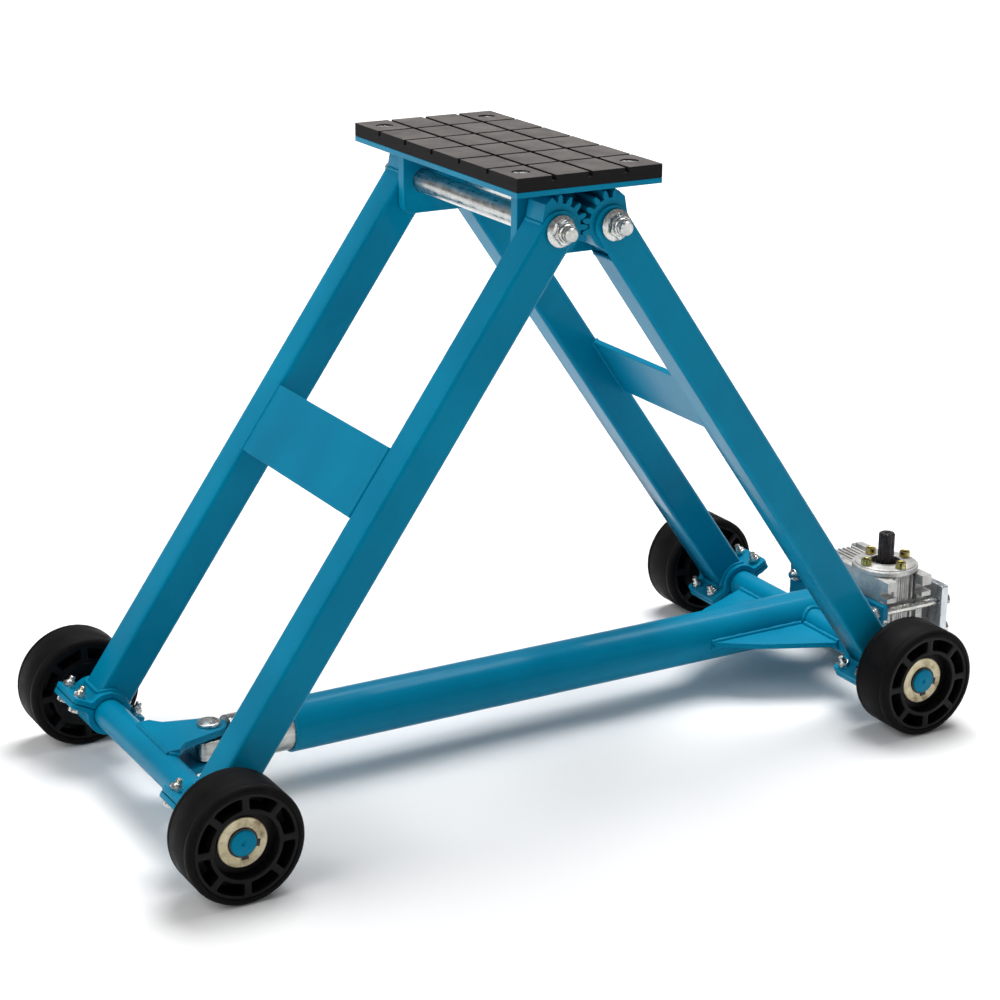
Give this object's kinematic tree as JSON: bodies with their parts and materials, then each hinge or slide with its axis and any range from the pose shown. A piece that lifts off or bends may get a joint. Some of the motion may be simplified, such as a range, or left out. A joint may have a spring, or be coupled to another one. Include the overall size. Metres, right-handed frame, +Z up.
{
  "type": "screw lift stand",
  "caption": "A-frame lift stand on wheels: hinged leg frames geared under a rubber-padded saddle, drawn together by a lead screw in a telescoping tube and a worm gearbox.",
  "frame": {"origin": "on the floor under the middle of the whole stand, wheels and gearbox included, at the height in the picture", "axes": "+X along the lift tube towards the gearbox, +Y across the stand along the wheel axles, +Z up"},
  "size_m": [0.842, 0.3874, 0.5344],
  "materials": {
    "blue_paint": "gloss",
    "bright_zinc": "satin",
    "zinc_steel": "satin",
    "dull_zinc": "satin",
    "dark_steel": "satin",
    "cast_aluminium": "cast",
    "yellow_zinc": "satin",
    "pad_rubber": "matte",
    "tyre_rubber": "matte",
    "wheel_nylon": "matte",
    "bronze": "satin"
  },
  "bodies": {
    "base": {"outer_tube": "blue_paint", "drive_axle": "blue_paint", "drive_axle_gussets": "blue_paint", "gearbox_mount_plate": "blue_paint", "gearbox_clamp_plate": "zinc_steel", "gearbox_housing": "cast_aluminium", "gearbox_covers": "cast_aluminium", "input_flange": "cast_aluminium", "input_flange_bolts": "yellow_zinc", "worm_bearings": "dark_steel", "gearbox_long_bolts": "bright_zinc", "gearbox_nuts": "bright_zinc", "screw_thrust_bearing": "dark_steel", "drive_axle_washers": "dull_zinc", "drive_axle_circlips": "dark_steel"},
    "screw": {"lead_screw": "zinc_steel", "worm_wheel": "bronze"},
    "input": {"worm_shaft": "dark_steel"},
    "drive_leg": {"drive_leg_front": "blue_paint", "drive_leg_rear": "blue_paint", "drive_gear_front": "blue_paint", "drive_gear_rear": "blue_paint", "drive_leg_web": "blue_paint", "drive_bearing_shells": "blue_paint", "drive_bearing_caps": "blue_paint", "drive_clamp_bolts": "bright_zinc", "drive_clamp_nuts": "bright_zinc"},
    "saddle": {"saddle_plate": "blue_paint", "saddle_cheek_front": "blue_paint", "saddle_cheek_rear": "blue_paint", "rubber_pad": "pad_rubber", "pad_screws": "bright_zinc", "drive_hinge_shaft": "zinc_steel", "slide_hinge_shaft": "zinc_steel", "hinge_nuts": "bright_zinc"},
    "slide_leg": {"slide_leg_front": "blue_paint", "slide_leg_rear": "blue_paint", "slide_gear_front": "blue_paint", "slide_gear_rear": "blue_paint", "slide_leg_web": "blue_paint", "slide_bearing_shells": "blue_paint", "slide_bearing_caps": "blue_paint", "slide_clamp_bolts": "bright_zinc", "slide_clamp_nuts": "bright_zinc"},
    "slide_axle": {"slide_axle": "blue_paint", "clevis_plates": "blue_paint", "clevis_pin": "zinc_steel", "tube_tongue": "zinc_steel", "inner_tube": "zinc_steel", "drive_nut": "bronze", "slide_axle_washers": "dull_zinc", "slide_axle_circlips": "dark_steel"},
    "drive_wheel_front": {"drive_wheel_hub_front": "wheel_nylon", "drive_tyre_front": "tyre_rubber"},
    "drive_wheel_rear": {"drive_wheel_hub_rear": "wheel_nylon", "drive_tyre_rear": "tyre_rubber"},
    "slide_wheel_front": {"slide_wheel_hub_front": "wheel_nylon", "slide_tyre_front": "tyre_rubber"},
    "slide_wheel_rear": {"slide_wheel_hub_rear": "wheel_nylon", "slide_tyre_rear": "tyre_rubber"}
  },
  "joints": [
    {"name": "lift", "type": "hinge", "parent": "base", "child": "drive_leg", "pos_m": [0.29371, 0, 0.05], "axis": [0, 1, 0], "range_deg": [-51.2, 2.5]},
    {"name": "saddle_hinge", "type": "hinge", "parent": "drive_leg", "child": "saddle", "pos_m": [-0.01315, 0, 0.48825], "axis": [0, 1, 0], "range_deg": [-2.5, 51.2]},
    {"name": "slide_leg_hinge", "type": "hinge", "parent": "saddle", "child": "slide_leg", "pos_m": [-0.06415, 0, 0.48825], "axis": [0, 1, 0], "range_deg": [-2.5, 51.2]},
    {"name": "slide_axle_hinge", "type": "hinge", "parent": "slide_leg", "child": "slide_axle", "pos_m": [-0.37101, 0, 0.05], "axis": [0, 1, 0], "range_deg": [-51.2, 2.5]},
    {"name": "screw_spin", "type": "hinge", "parent": "base", "child": "screw", "pos_m": [0.29371, 0, 0.05], "axis": [1, 0, 0], "continuous": true},
    {"name": "input_spin", "type": "hinge", "parent": "base", "child": "input", "pos_m": [0.37021, -0.03, 0.05], "axis": [0, 0, 1], "continuous": true},
    {"name": "drive_wheel_front_spin", "type": "hinge", "parent": "base", "child": "drive_wheel_front", "pos_m": [0.29371, -0.1717, 0.05], "axis": [0, 1, 0], "continuous": true},
    {"name": "drive_wheel_rear_spin", "type": "hinge", "parent": "base", "child": "drive_wheel_rear", "pos_m": [0.29371, 0.1717, 0.05], "axis": [0, 1, 0], "continuous": true},
    {"name": "slide_wheel_front_spin", "type": "hinge", "parent": "slide_axle", "child": "slide_wheel_front", "pos_m": [-0.37101, -0.1717, 0.05], "axis": [0, 1, 0], "continuous": true},
    {"name": "slide_wheel_rear_spin", "type": "hinge", "parent": "slide_axle", "child": "slide_wheel_rear", "pos_m": [-0.37101, 0.1717, 0.05], "axis": [0, 1, 0], "continuous": true}
  ],
  "couplings": [
    {"joint": "saddle_hinge", "follows": "lift", "ratio": -1},
    {"joint": "slide_leg_hinge", "follows": "lift", "ratio": -1},
    {"joint": "slide_axle_hinge", "follows": "lift", "ratio": 1},
    {"joint": "input_spin", "follows": "screw_spin", "ratio": 10}
  ]
}
